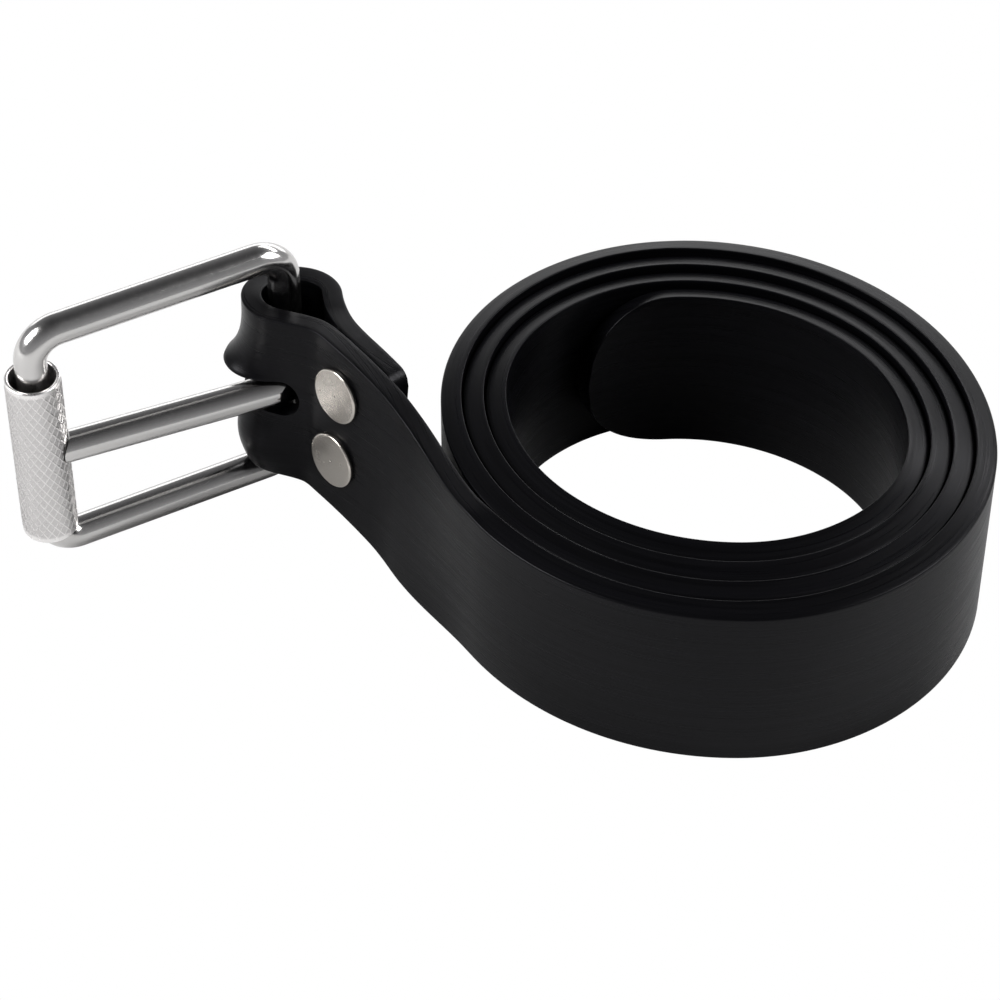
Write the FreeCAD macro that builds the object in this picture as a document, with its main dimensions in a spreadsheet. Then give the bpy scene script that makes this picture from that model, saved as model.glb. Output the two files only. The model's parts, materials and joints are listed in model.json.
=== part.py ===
import FreeCAD, Part
import math
import os
import Sketcher

# A coiled rubber weight belt with a wire roller buckle.
# Axes: +Z up, +X the long way (from the buckle to the coil), +Y away from the buckle's open side.
# Origin: middle of the footprint, on the floor the belt stands on.

doc = FreeCAD.newDocument("dive_weight_belt")
V = FreeCAD.Vector

# ---------------------------------------------------------------- driving sizes (mm, degrees)
sheet = doc.addObject("Spreadsheet::Sheet", "Dims")
SIZES = [
    ("strap_width", 51.0, "width of the rubber strap"),
    ("strap_thickness", 5.3, "thickness of the rubber strap"),
    ("turn_radius", 70.94, "centre-line radius of the outer turn, on average"),
    ("turn_pitch", 6.17, "how much tighter each turn is than the one outside it"),
    ("flattening", 8.79, "the outer turn's radius is this much larger on its flat sides"),
    ("flat_heading", 50.5, "direction that a flat side of the outer turn faces"),
    ("inner_flattening", 1.46, "added each turn, on the sides facing along Y"),
    ("first_hub_x", 4.152, "centre of the first arc, from the coil's middle"),
    ("first_hub_y", 9.809, "centre of the first arc, from the coil's middle"),
    ("coil_centre_x", 53.53, "coil's middle from the origin"),
    ("coil_centre_y", -1.01, "coil's middle from the origin"),
    ("leave_heading", 124.6, "direction the strap leaves the coil"),
    ("tip_direction", 1564.0, "where the free end stops, counted on round the turns"),
    ("tip_round_radius", 24.5, "rounded corners of the free end"),
    ("leave_length", 35.5, "straight from the coil to the first bend"),
    ("first_bend", 8.4, "first bend before the rivets"),
    ("first_bend_radius", 60.0, "its centre-line radius"),
    ("rivet_land_length", 23.0, "straight stretch that carries the rivets"),
    ("second_bend", 20.0, "bend between the rivets and the loop"),
    ("second_bend_radius", 14.0, "its centre-line radius"),
    ("loop_front_length", 9.6, "straight front wall of the loop"),
    ("fold_inner_radius", 7.65, "inside of the fold round the near bar"),
    ("tail_bend_radius", 6.0, "bend that brings the tail back onto the strap"),
    ("tail_gap", 0.15, "gap between tail and strap"),
    ("tail_length", 24.5, "flat length of the tail"),
    ("tail_corner_radius", 6.0, "rounded corners at the tail's end"),
    ("end_rise", 11.5, "how far the buckle end stands above the coil's lower edge"),
    ("rise_start", 4.0, "where the rise begins, along the strap from the coil"),
    ("rise_length", 72.0, "length over which it rises"),
    ("slot_height", 10.6, "tongue slot in the fold"),
    ("slot_front_reach", 10.6, "slot end on the front wall, from the near bar's foot"),
    ("slot_sweep", 225.0, "how far round the fold the slot runs before its rounded back end"),
    ("rivet_setback", 14.9, "rivets from the start of the rivet land"),
    ("rivet_spacing", 21.2, "rivet centre to rivet centre"),
    ("rivet_height", 37.1, "midway between the two rivets, above the floor"),
    ("rivet_hole_radius", 2.1, "hole in the rubber"),
    ("rivet_head_radius", 7.75, "rivet heads, front and back"),
    ("rivet_head_height", 1.3, "height of a rivet head"),
    ("rivet_rim_round", 0.6, "rounding of the heads' rims"),
    ("rivet_shank_radius", 2.0, "post shank"),
    ("socket_depth", 0.8, "blind socket under the front cap"),
    ("socket_clearance", 0.03, "gap between shank and socket"),
    ("wire_radius", 4.25, "buckle wire"),
    ("frame_length", 70.5, "near bar to far bar, centre to centre"),
    ("frame_height", 71.2, "lower bar to upper bar, centre to centre"),
    ("frame_corner_radius", 8.0, "centre-line radius of the frame's corners"),
    ("frame_heading", 208.3, "direction from the near bar to the far bar"),
    ("near_bar_back", 1.9, "near bar from the fold's centre, towards -X"),
    ("near_bar_side", 1.0, "near bar from the fold's centre, towards +Y"),
    ("roller_radius", 7.3, "roller outside"),
    ("roller_bore_radius", 6.1, "roller inside"),
    ("roller_length", 52.6, "roller length"),
    ("roller_foot", 10.0, "height of the roller's lower end"),
    ("roller_chamfer", 0.35, "edge break at the roller's ends"),
    ("tongue_height", 37.4, "height of the tongue's axis"),
    ("eye_radius", 9.4, "outside of the tongue's flattened eye"),
    ("eye_bore_radius", 4.35, "hole in the eye, running on the near bar"),
    ("eye_height", 9.4, "the eye is flattened to this height"),
    ("eye_edge_round", 0.8, "rounding of the eye's edges"),
    ("tongue_offset", 8.75, "tongue's axis to the side of the near bar"),
    ("flat_start", 7.0, "where the rod starts to thin down towards the eye"),
    ("tongue_slope", 5.7, "tongue turned in towards the roller"),
    ("tongue_reach", 66.9, "near bar to the tongue's tip, along the frame"),
    ("seat_clearance", 0.25, "gap between the tongue's seat and the roller"),
]
for row, (name, value, note) in enumerate(SIZES, start=1):
    sheet.set("A%d" % row, name)
    sheet.set("B%d" % row, repr(value))
    sheet.set("C%d" % row, note)
    sheet.setAlias("B%d" % row, name)
doc.recompute()


def size(name):
    return float(sheet.get(name))


def unit(degrees):
    return V(math.cos(math.radians(degrees)), math.sin(math.radians(degrees)), 0)


thick = size("strap_thickness")
half = thick / 2.0


# ---------------------------------------------------------------- the strap's centre line, in plan
# A run of arcs and straight lines, each starting where the one before it ends and in line with it.
# An arc has its centre, its radius, and the directions of its two ends as seen from the centre.
def turn_piece(centre, radius, first, last):
    return {"kind": "arc", "centre": centre, "radius": radius, "first": first, "last": last}


def line_piece(start, end):
    return {"kind": "line", "start": start, "end": end}


# The coil is a spiral of eighth turns. It is slightly oval, and its inner turns are a little
# flatter than the outer ones. Turns are counted from where the strap leaves the coil.
def eighth_radius(direction, turns):
    ripple = size("flattening") * math.cos(math.radians(2.0 * (direction - size("flat_heading"))))
    inward = size("inner_flattening") * math.cos(math.radians(2.0 * (direction - 90.0)))
    return size("turn_radius") - size("turn_pitch") * turns + ripple + inward * turns


leave_normal = size("leave_heading") + 90.0
coil_pieces = []
centre = V(size("first_hub_x"), size("first_hub_y"), 0)
angle = leave_normal
boundary = 45.0 * math.ceil(angle / 45.0)
radius = None
while angle < size("tip_direction"):
    direction = boundary - 22.5
    following = eighth_radius(direction, (direction - leave_normal) / 360.0)
    if radius is not None:
        centre = centre + unit(angle) * (radius - following)
    radius = following
    stop = min(boundary, size("tip_direction"))
    coil_pieces.append(turn_piece(centre, radius, angle, stop))
    angle = stop
    boundary += 45.0
tip_piece = coil_pieces[-1]

# From the coil to the loop: straight, a slight bend, the flat land for the rivets, a second bend,
# the loop's front wall, the fold round the near bar, a bend back, and the tail against the strap.
heading = size("leave_heading")
point = coil_pieces[0]["centre"] + unit(leave_normal) * coil_pieces[0]["radius"]
leave_point = point
end_pieces = []


def go_straight(start, direction, length):
    finish = start + unit(direction) * length
    end_pieces.append(line_piece(start, finish))
    return finish


def go_round(start, direction, radius, degrees):
    # positive degrees turn left, negative turn right
    side = 90.0 if degrees > 0 else -90.0
    middle = start + unit(direction + side) * radius
    first = direction - side
    last = first + degrees
    end_pieces.append(turn_piece(middle, radius, first, last))
    return middle + unit(last) * radius, direction + degrees, middle


point = go_straight(point, heading, size("leave_length"))
point, heading, middle = go_round(point, heading, size("first_bend_radius"), size("first_bend"))
land_start = point
land_heading = heading
point = go_straight(point, heading, size("rivet_land_length"))
point, heading, middle = go_round(point, heading, size("second_bend_radius"), size("second_bend"))
front_wall_heading = heading
point = go_straight(point, heading, size("loop_front_length"))
fold_radius = size("fold_inner_radius") + half

# The fold sweeps just far enough that the bend after it runs tangent into the tail.
land_side = unit(land_heading - 90.0)


def tail_offset(sweep):
    hub = point + unit(front_wall_heading - 90.0) * fold_radius
    leave = hub + unit(front_wall_heading + 90.0 - sweep) * fold_radius
    going = front_wall_heading - sweep
    bend_hub = leave + unit(going + 90.0) * size("tail_bend_radius")
    arrive = bend_hub + unit(land_heading - 180.0 - 90.0) * size("tail_bend_radius")
    return (arrive - land_start).dot(land_side)


wanted = thick + size("tail_gap")
low, high = 180.0 + size("second_bend"), 290.0
for step in range(60):
    trial = (low + high) / 2.0
    if tail_offset(trial) > wanted:
        low = trial
    else:
        high = trial
fold_start = point
point, heading, fold_centre = go_round(point, heading, fold_radius, -trial)
back_bend = land_heading - 180.0 - heading
point, heading, middle = go_round(point, heading, size("tail_bend_radius"), back_bend)
tail_start = point
point = go_straight(point, heading, size("tail_length"))
tail_end = point


# ---------------------------------------------------------------- the strap
def left_of(piece, at_end, side, travel):
    # a point of the offset edge; side is measured to the left of travel from the coil to the tail
    if piece["kind"] == "line":
        along = piece["end"] - piece["start"]
        along.normalize()
        base = piece["end"] if at_end else piece["start"]
        return base + V(-along.y, along.x, 0) * side
    turning_left = (piece["last"] > piece["first"]) == travel
    radius = piece["radius"] - side if turning_left else piece["radius"] + side
    return piece["centre"] + unit(piece["last"] if at_end else piece["first"]) * radius


def edge_curve(piece, side, travel):
    if piece["kind"] == "line":
        return Part.LineSegment(left_of(piece, False, side, travel),
                                left_of(piece, True, side, travel))
    radius = left_of(piece, False, side, travel).distanceToPoint(piece["centre"])
    circle = Part.Circle(piece["centre"], V(0, 0, 1), radius)
    return Part.ArcOfCircle(circle, math.radians(min(piece["first"], piece["last"])),
                            math.radians(max(piece["first"], piece["last"])))


def plan_sketch(name, pieces, travel):
    # both edges of the strap as seen from above, closed across its two ends
    sketch = doc.addObject("Sketcher::SketchObject", name)
    curves = []
    for side in (half, -half):
        for piece in pieces:
            curves.append(edge_curve(piece, side, travel))
    for piece, at_end in ((pieces[0], False), (pieces[-1], True)):
        curves.append(Part.LineSegment(left_of(piece, at_end, half, travel),
                                       left_of(piece, at_end, -half, travel)))
    sketch.addGeometry(curves, False)
    tie_ends(sketch)
    return sketch


def tie_ends(sketch):
    ends = []
    for number, curve in enumerate(sketch.Geometry):
        ends.append((number, 1, curve.StartPoint))
        ends.append((number, 2, curve.EndPoint))
    ties = []
    for one in range(len(ends)):
        for other in range(one + 1, len(ends)):
            if ends[one][0] == ends[other][0]:
                continue
            if ends[one][2].distanceToPoint(ends[other][2]) < 1e-4:
                ties.append(Sketcher.Constraint("Coincident", ends[one][0], ends[one][1],
                                                ends[other][0], ends[other][1]))
    sketch.addConstraint(ties)


def pushed(name, sketch, direction, forward, back=None):
    # a closed sketch pushed into a solid; forward and back are lengths or sheet expressions
    solid = doc.addObject("Part::Extrusion", name)
    solid.Base = sketch
    solid.DirMode = "Custom"
    solid.Dir = direction
    solid.Solid = True
    solid.setExpression("LengthFwd", forward)
    if back is not None:
        solid.setExpression("LengthRev", back)
    return solid


def cylinder(name, radius, height, placement, angle=None):
    solid = doc.addObject("Part::Cylinder", name)
    solid.setExpression("Radius", radius)
    solid.setExpression("Height", height)
    if angle is not None:
        solid.Angle = angle
    solid.Placement = placement
    return solid


def box(name, length, width, height, placement):
    # length is a number worked out above, or a sheet expression
    solid = doc.addObject("Part::Box", name)
    if isinstance(length, float):
        solid.Length = length
    else:
        solid.setExpression("Length", length)
    solid.setExpression("Width", width)
    solid.setExpression("Height", height)
    solid.Placement = placement
    return solid


def joined(name, solids):
    whole = doc.addObject("Part::MultiFuse", name)
    whole.Shapes = solids
    whole.Refine = True
    return whole


def cut_from(name, base, tool):
    rest = doc.addObject("Part::Cut", name)
    rest.Base = base
    rest.Tool = tool
    rest.Refine = True
    return rest


def turned(origin, degrees):
    return FreeCAD.Placement(origin, FreeCAD.Rotation(V(0, 0, 1), degrees))


def upright(origin, direction):
    # a standing sketch plane: its X runs along direction, its Y is up, and it faces to the right
    facing = FreeCAD.Rotation(V(0, 0, 1), direction).multiply(FreeCAD.Rotation(V(1, 0, 0), 90.0))
    return FreeCAD.Placement(origin, facing)


coil_plan = plan_sketch("CoilPlan", coil_pieces, False)
end_plan = plan_sketch("EndPlan", end_pieces, True)
coil_blank = pushed("CoilBlank", coil_plan, V(0, 0, 1), "Dims.strap_width")
end_blank = pushed("EndBlank", end_plan, V(0, 0, 1), "Dims.strap_width + Dims.end_rise")

# The buckle end climbs from the floor to the buckle's height: both its edges follow two equal arcs.
rise = size("end_rise")
run = size("rise_length")
begin = size("rise_start")
rise_radius = (run * run + rise * rise) / (4.0 * rise)
swing = 2.0 * math.degrees(math.atan(rise / run))


def climb(name, base, outer_edge):
    sketch = doc.addObject("Sketcher::SketchObject", name)
    sketch.Placement = upright(leave_point, size("leave_heading"))
    finish = begin + run
    near = -8.0
    far = finish + 40.0
    low_hub = Part.Circle(V(begin, base + rise_radius, 0), V(0, 0, 1), rise_radius)
    high_hub = Part.Circle(V(finish, base + rise - rise_radius, 0), V(0, 0, 1), rise_radius)
    sketch.addGeometry([
        Part.LineSegment(V(near, base, 0), V(begin, base, 0)),
        Part.ArcOfCircle(low_hub, math.radians(270.0), math.radians(270.0 + swing)),
        Part.ArcOfCircle(high_hub, math.radians(90.0), math.radians(90.0 + swing)),
        Part.LineSegment(V(finish, base + rise, 0), V(far, base + rise, 0)),
        Part.LineSegment(V(far, base + rise, 0), V(far, outer_edge, 0)),
        Part.LineSegment(V(far, outer_edge, 0), V(near, outer_edge, 0)),
        Part.LineSegment(V(near, outer_edge, 0), V(near, base, 0))], False)
    tie_ends(sketch)
    return pushed(name + "Tool", sketch, unit(size("leave_heading") - 90.0),
                  "Dims.strap_width", "Dims.strap_width")


above = climb("ClimbTop", size("strap_width"), size("strap_width") + rise + 5.0)
below = climb("ClimbBottom", 0.0, -5.0)
end_climbed = cut_from("EndClimbed", end_blank, joined("ClimbTools", [above, below]))

# Tongue slot: it runs from the front wall right round the fold, with a rounded end each way.
near_bar = fold_centre + V(-size("near_bar_back"), size("near_bar_side"), 0)
slot_floor = V(0, 0, size("tongue_height") - size("slot_height") / 2.0)
front_normal = front_wall_heading + 90.0
back_end_facing = front_normal - size("slot_sweep")
depth = "Dims.fold_inner_radius + 2 * Dims.strap_thickness"
fold_slot = cylinder("SlotFold", depth, "Dims.slot_height",
                     turned(fold_centre + slot_floor, back_end_facing), size("slot_sweep"))
front_foot = (near_bar - fold_centre).dot(unit(front_wall_heading))
front_reach = size("slot_front_reach") - front_foot - size("slot_height") / 2.0
front_end = fold_centre - unit(front_wall_heading) * front_reach
front_slot = box("SlotFront", front_reach, depth, "Dims.slot_height",
                 turned(front_end + slot_floor, front_wall_heading))


def lying(origin, direction):
    # a cylinder lying level, its axis pointing along direction
    level = FreeCAD.Rotation(V(0, 0, 1), direction).multiply(FreeCAD.Rotation(V(0, 1, 0), 90.0))
    return FreeCAD.Placement(origin, level)


slot_axis = V(0, 0, size("tongue_height"))
front_round = cylinder("SlotFrontRound", "Dims.slot_height / 2", depth,
                       lying(front_end + slot_axis, front_normal))
back_round = cylinder("SlotBackRound", "Dims.slot_height / 2", depth,
                      lying(fold_centre + slot_axis, back_end_facing))

# Two rivet holes through the strap and the tail.
rivet_spot = land_start + unit(land_heading) * size("rivet_setback")
rivet_facing = land_heading + 90.0
rivet_levels = {"upper": size("rivet_height") + size("rivet_spacing") / 2.0,
                "lower": size("rivet_height") - size("rivet_spacing") / 2.0}
inner_stack = thick * 1.5 + size("tail_gap")
holes = []
for level, height in rivet_levels.items():
    start = rivet_spot - unit(rivet_facing) * (inner_stack + 1.0) + V(0, 0, height)
    holes.append(cylinder("RivetHole_" + level, "Dims.rivet_hole_radius",
                          "2 * Dims.strap_thickness + Dims.tail_gap + 2",
                          lying(start, rivet_facing)))
end_tools = joined("EndTools", [fold_slot, front_slot, front_round, back_round] + holes)
end_slotted = cut_from("EndSlotted", end_climbed, end_tools)

# The tail's end has rounded corners.
corner = doc.addObject("Part::Fillet", "EndRounded")
corner.Base = end_slotted
doc.recompute()
corner_edges = []
for number, edge in enumerate(end_slotted.Shape.Edges, start=1):
    middle_point = edge.CenterOfMass
    flat_place = V(middle_point.x, middle_point.y, 0)
    if flat_place.distanceToPoint(tail_end) < 0.5 and abs(edge.Length - thick) < 0.5:
        corner_edges.append((number, size("tail_corner_radius"), size("tail_corner_radius")))
corner.Edges = corner_edges

# The free end is rounded: the corners outside its arcs come off the innermost turn only.
tip_round = size("tip_round_radius")
tip_width = size("strap_width")
tip_heading = tip_piece["last"] + 90.0
tip_tools = []
for name, level, out in (("TipTop", tip_width, 1.0), ("TipBottom", 0.0, -1.0)):
    sketch = doc.addObject("Sketcher::SketchObject", name)
    sketch.Placement = upright(tip_piece["centre"], tip_heading)
    hub = Part.Circle(V(-tip_round, level - out * tip_round, 0), V(0, 0, 1), tip_round)
    first = 0.0 if out > 0 else 270.0
    shoulder = V(-tip_round, level, 0)
    nose = V(0, level - out * tip_round, 0)
    sketch.addGeometry([
        Part.ArcOfCircle(hub, math.radians(first), math.radians(first + 90.0)),
        Part.LineSegment(nose, V(2.0, nose.y, 0)),
        Part.LineSegment(V(2.0, nose.y, 0), V(2.0, level + out * 2.0, 0)),
        Part.LineSegment(V(2.0, level + out * 2.0, 0), V(-tip_round, level + out * 2.0, 0)),
        Part.LineSegment(V(-tip_round, level + out * 2.0, 0), shoulder)], False)
    tie_ends(sketch)
    tip_tools.append(pushed(name + "Corner", sketch, unit(tip_piece["last"]),
                            "Dims.turn_radius"))
inner_limit = doc.addObject("Part::Cylinder", "InnermostTurn")
inner_limit.Radius = tip_piece["radius"] + half + 0.1
inner_limit.Height = tip_width + 6.0
inner_limit.Placement = turned(tip_piece["centre"] - V(0, 0, 3.0), 0.0)
tip_corners = doc.addObject("Part::MultiCommon", "TipCorners")
tip_corners.Shapes = [joined("TipTools", tip_tools), inner_limit]
coil_cut = cut_from("CoilRounded", coil_blank, tip_corners)
strap = joined("strap", [coil_cut, corner])

# ---------------------------------------------------------------- buckle frame, one bent wire
# Built with the near bar on the local Z axis and the far bar along local +X.
wire = "Dims.wire_radius"
bend = size("frame_corner_radius")
long_side = size("frame_length")
tall_side = size("frame_height")
foot = size("wire_radius")
bars = []
for name, reach in (("NearBar", 0.0), ("FarBar", long_side)):
    bars.append(cylinder(name, wire, "Dims.frame_height - 2 * Dims.frame_corner_radius",
                         FreeCAD.Placement(V(reach, 0, foot + bend), FreeCAD.Rotation())))
for name, height in (("LowerBar", foot), ("UpperBar", foot + tall_side)):
    bars.append(cylinder(name, wire, "Dims.frame_length - 2 * Dims.frame_corner_radius",
                         lying(V(bend, 0, height), 0.0)))
corners = (("CornerNearLow", bend, foot + bend, 180.0),
           ("CornerFarLow", long_side - bend, foot + bend, 270.0),
           ("CornerFarHigh", long_side - bend, foot + tall_side - bend, 0.0),
           ("CornerNearHigh", bend, foot + tall_side - bend, 90.0))
for name, reach, height, start in corners:
    elbow = doc.addObject("Part::Torus", name)
    elbow.setExpression("Radius1", "Dims.frame_corner_radius")
    elbow.setExpression("Radius2", wire)
    elbow.Angle3 = 90.0
    standing = FreeCAD.Rotation(V(1, 0, 0), 90.0).multiply(FreeCAD.Rotation(V(0, 0, 1), start))
    elbow.Placement = FreeCAD.Placement(V(reach, 0, height), standing)
    bars.append(elbow)
frame = joined("buckle_frame", bars)

# ---------------------------------------------------------------- roller, a loose tube
tube = cylinder("RollerTube", "Dims.roller_radius", "Dims.roller_length", FreeCAD.Placement())
bore = cylinder("RollerBore", "Dims.roller_bore_radius", "Dims.roller_length + 2",
                FreeCAD.Placement(V(0, 0, -1), FreeCAD.Rotation()))
roller_tube = cut_from("RollerRaw", tube, bore)
roller = doc.addObject("Part::Chamfer", "roller")
roller.Base = roller_tube
doc.recompute()
rims = []
for number, edge in enumerate(roller_tube.Shape.Edges, start=1):
    circular = edge.Curve.TypeId == "Part::GeomCircle"
    if circular and abs(edge.Curve.Radius - size("roller_radius")) < 1e-6:
        rims.append((number, size("roller_chamfer"), size("roller_chamfer")))
roller.Edges = rims

# ---------------------------------------------------------------- tongue, a rod with a flattened eye
# The rod passes the near bar on the open side. Over its last few millimetres it thins down to the
# eye, which closes round the bar. The other end is hollowed to sit on the roller.
eye_disc = cylinder("EyeDisc", "Dims.eye_radius", "Dims.eye_height", FreeCAD.Placement())
eye_disc.setExpression("Placement.Base.z", "-Dims.eye_height / 2")
eye_edges = doc.addObject("Part::Fillet", "EyeRounded")
eye_edges.Base = eye_disc
eye_edges.Edges = [(1, size("eye_edge_round"), size("eye_edge_round")),
                   (3, size("eye_edge_round"), size("eye_edge_round"))]
slope = size("tongue_slope")
rod_start = unit(90.0 - slope) * size("tongue_offset")
rod = cylinder("TongueRod", wire, "Dims.tongue_reach", lying(rod_start, -slope))
thinned = size("tongue_offset") + size("wire_radius") - size("eye_radius")
lean = math.degrees(math.atan2(thinned, size("flat_start")))
flat_foot = unit(90.0 - slope) * size("eye_radius")
rod_flat = box("TongueFlat", "2 * Dims.flat_start + 20", "4 * Dims.wire_radius",
               "4 * Dims.wire_radius",
               turned(flat_foot - unit(lean - slope) * 10.0 - V(0, 0, 2 * foot), lean - slope))
rod_thinned = cut_from("TongueRodThinned", rod, rod_flat)
eye_bore = cylinder("EyeBore", "Dims.eye_bore_radius", "2 * Dims.eye_height", FreeCAD.Placement())
eye_bore.setExpression("Placement.Base.z", "-Dims.eye_height")
seat = cylinder("TongueSeat", "Dims.roller_radius + Dims.seat_clearance", "4 * Dims.wire_radius",
                FreeCAD.Placement(V(long_side, 0, -2 * foot), FreeCAD.Rotation()))
tip_trim = box("TongueTrim", "Dims.frame_length", "Dims.frame_length", "4 * Dims.wire_radius",
               FreeCAD.Placement(V(size("tongue_reach"), -long_side / 2.0, -2 * foot),
                                 FreeCAD.Rotation()))
tongue = cut_from("tongue", joined("TongueBody", [eye_edges, rod_thinned]),
                  joined("TongueCuts", [eye_bore, seat, tip_trim]))


# ---------------------------------------------------------------- rivets: a front cap and a back post
# Built standing: the head sits on the local XY plane and the shank hangs below it.
def softened(name, base, radius, edge_radius, height):
    # the rim of the head at the given height, rounded over
    rounded = doc.addObject("Part::Fillet", name)
    rounded.Base = base
    doc.recompute()
    picked = []
    for number, edge in enumerate(base.Shape.Edges, start=1):
        if edge.Curve.TypeId != "Part::GeomCircle" or abs(edge.Curve.Radius - radius) > 1e-6:
            continue
        if abs(edge.Curve.Center.z - height) < 1e-6:
            picked.append((number, edge_radius, edge_radius))
    rounded.Edges = picked
    return rounded


head = size("rivet_head_radius")
high = size("rivet_head_height")
stack = 2.0 * thick + size("tail_gap")
rivet_parts = {}
for level in rivet_levels:
    disc = cylinder("CapDisc_" + level, "Dims.rivet_head_radius", "Dims.rivet_head_height",
                    FreeCAD.Placement())
    socket = cylinder("CapSocket_" + level, "Dims.rivet_shank_radius + Dims.socket_clearance",
                      "Dims.socket_depth", FreeCAD.Placement())
    cap = softened("rivet_cap_" + level, cut_from("CapRaw_" + level, disc, socket),
                   head, size("rivet_rim_round"), high)
    flange = cylinder("PostFlange_" + level, "Dims.rivet_head_radius", "Dims.rivet_head_height",
                      FreeCAD.Placement())
    post_length = stack + size("socket_depth") - size("socket_clearance")
    stem = cylinder("PostStem_" + level, "Dims.rivet_shank_radius",
                    "2 * Dims.strap_thickness + Dims.tail_gap + Dims.socket_depth"
                    " - Dims.socket_clearance + Dims.rivet_head_height / 2",
                    FreeCAD.Placement(V(0, 0, -post_length), FreeCAD.Rotation()))
    post = softened("rivet_post_" + level, joined("PostRaw_" + level, [flange, stem]),
                    head, size("rivet_rim_round"), high)
    rivet_parts[level] = (cap, post)
doc.recompute()

# ---------------------------------------------------------------- everything in its place
middle = V(size("coil_centre_x"), size("coil_centre_y"), 0)
hinge = middle + near_bar
heading = size("frame_heading")
strap.Placement = FreeCAD.Placement(middle, FreeCAD.Rotation())
frame.Placement = turned(hinge, heading)
roller.Placement = turned(hinge + unit(heading) * long_side + V(0, 0, size("roller_foot")), heading)
tongue.Placement = turned(hinge + V(0, 0, size("tongue_height")), heading)
for level, height in rivet_levels.items():
    cap, post = rivet_parts[level]
    outer_face = middle + rivet_spot + unit(rivet_facing) * half + V(0, 0, height)
    back_face = outer_face - unit(rivet_facing) * stack
    cap.Placement = lying(outer_face, rivet_facing)
    post.Placement = lying(back_face, rivet_facing + 180.0)
doc.recompute()

# ---------------------------------------------------------------- check and write
parts = [strap, frame, roller, tongue]
for level in rivet_levels:
    parts += rivet_parts[level]
for item in doc.Objects:
    if "Invalid" in item.State or "Error" in item.State:
        raise RuntimeError("%s did not recompute" % item.Name)
os.makedirs("parts", exist_ok=True)
for item in parts:
    item.Label = item.Name
    if item.Shape.isNull() or not item.Shape.isValid():
        raise RuntimeError("%s has no valid shape" % item.Name)
    item.Shape.exportStep("parts/%s.step" % item.Label)
    edges = item.Shape.BoundBox
    print("%-18s solids %d faces %3d volume %9.1f  x %.2f..%.2f  y %.2f..%.2f  z %.2f..%.2f" % (
        item.Label, len(item.Shape.Solids), len(item.Shape.Faces), item.Shape.Volume,
        edges.XMin, edges.XMax, edges.YMin, edges.YMax, edges.ZMin, edges.ZMax))
print("near bar axis", hinge, "roller axis", hinge + unit(heading) * long_side)
print("rivet levels", rivet_levels)
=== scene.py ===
import json
import math
import bpy
import bmesh
import numpy as np
from mathutils import Matrix, Vector


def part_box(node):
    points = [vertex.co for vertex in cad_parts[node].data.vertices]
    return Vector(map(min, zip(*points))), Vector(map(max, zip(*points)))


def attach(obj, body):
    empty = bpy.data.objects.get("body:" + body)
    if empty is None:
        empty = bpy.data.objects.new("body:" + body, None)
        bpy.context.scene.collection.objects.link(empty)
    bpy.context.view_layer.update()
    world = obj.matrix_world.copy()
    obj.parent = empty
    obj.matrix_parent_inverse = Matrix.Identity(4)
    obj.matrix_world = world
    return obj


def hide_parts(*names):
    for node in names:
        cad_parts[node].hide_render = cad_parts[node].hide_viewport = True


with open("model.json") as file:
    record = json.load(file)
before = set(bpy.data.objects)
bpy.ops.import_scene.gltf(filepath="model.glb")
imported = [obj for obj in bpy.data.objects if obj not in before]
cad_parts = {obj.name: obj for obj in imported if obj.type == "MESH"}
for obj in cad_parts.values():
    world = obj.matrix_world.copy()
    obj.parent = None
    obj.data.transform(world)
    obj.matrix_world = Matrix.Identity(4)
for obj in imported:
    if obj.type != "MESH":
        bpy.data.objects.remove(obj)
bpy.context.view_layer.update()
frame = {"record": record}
MM = 0.001
record = frame["record"]
joints = {j["name"]: j for j in record["behaviour"]["joints"]}


def flat(vector):
    return np.array([vector[0], vector[1]], float)


NEAR_BAR = flat(joints["frame_swing"]["pos_m"]) / MM
FAR_BAR = flat(joints["roller_spin"]["pos_m"]) / MM
TONGUE_Z = joints["tongue_swing"]["pos_m"][2] / MM
FRAME_HEADING = math.degrees(math.atan2(*(FAR_BAR - NEAR_BAR)[::-1]))
FRAME_LENGTH = float(np.hypot(*(FAR_BAR - NEAR_BAR)))


def unit(degrees):
    return np.array([math.cos(math.radians(degrees)), math.sin(math.radians(degrees))])


# ------------------------------------------------------------ small mesh helpers
def new_object(name, verts, faces, material=None, smooth=True):
    mesh = bpy.data.meshes.new(name)
    mesh.from_pydata([tuple(v) for v in np.asarray(verts) * MM], [], [tuple(f) for f in faces])
    if smooth:
        mesh.shade_smooth()
    if material is not None:
        mesh.materials.append(material)
    obj = bpy.data.objects.new(name, mesh)
    bpy.context.scene.collection.objects.link(obj)
    return obj


def ring_faces(rings, per_ring, closed=False):
    faces = []
    last = rings if closed else rings - 1
    for i in range(last):
        a = i * per_ring
        b = ((i + 1) % rings) * per_ring
        for j in range(per_ring):
            k = (j + 1) % per_ring
            faces.append((a + j, b + j, b + k, a + k))
    return faces


def apply_modifiers(obj):
    depsgraph = bpy.context.evaluated_depsgraph_get()
    mesh = bpy.data.meshes.new_from_object(obj.evaluated_get(depsgraph))
    obj.modifiers.clear()
    obj.data = mesh
    return obj


def fix_normals(obj):
    bm = bmesh.new()
    bm.from_mesh(obj.data)
    bmesh.ops.recalc_face_normals(bm, faces=bm.faces)
    bm.to_mesh(obj.data)
    bm.free()
    return obj


def boolean_cut(obj, tool):
    cut = obj.modifiers.new("cut", "BOOLEAN")
    cut.operation = "DIFFERENCE"
    cut.solver = "EXACT"
    cut.object = tool
    apply_modifiers(obj)
    bpy.data.objects.remove(tool)
    return obj


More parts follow.
